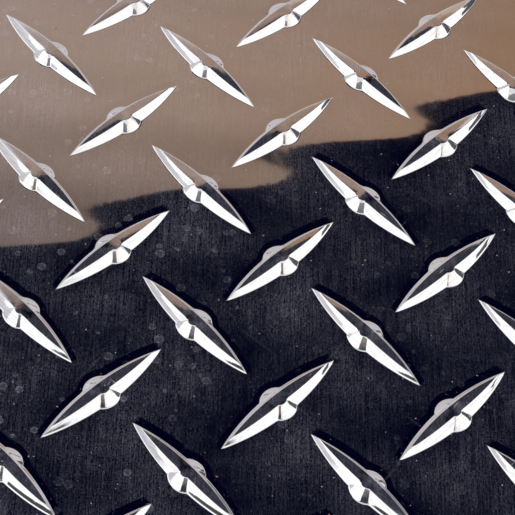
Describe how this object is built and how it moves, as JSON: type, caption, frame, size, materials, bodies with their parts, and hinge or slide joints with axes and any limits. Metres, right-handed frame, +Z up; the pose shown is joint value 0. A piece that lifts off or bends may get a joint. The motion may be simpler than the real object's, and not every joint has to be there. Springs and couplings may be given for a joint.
{
  "type": "checker plate",
  "caption": "Bright rolled aluminium checker plate: a flat sheared square of sheet with a raised slip-resistant pattern of pointed lugs on its upper face.",
  "frame": {"origin": "middle of the flat underside", "axes": "+Z up out of the lugs, +Y along the rolling direction, +X across it"},
  "size_m": [0.2032, 0.2032, 0.0049],
  "materials": {
    "bright_aluminium": "bright mill finish, near mirror, with fine lines along the rolling direction"
  },
  "bodies": {
    "root": {"checker_plate": "bright_aluminium"}
  },
  "joints": []
}
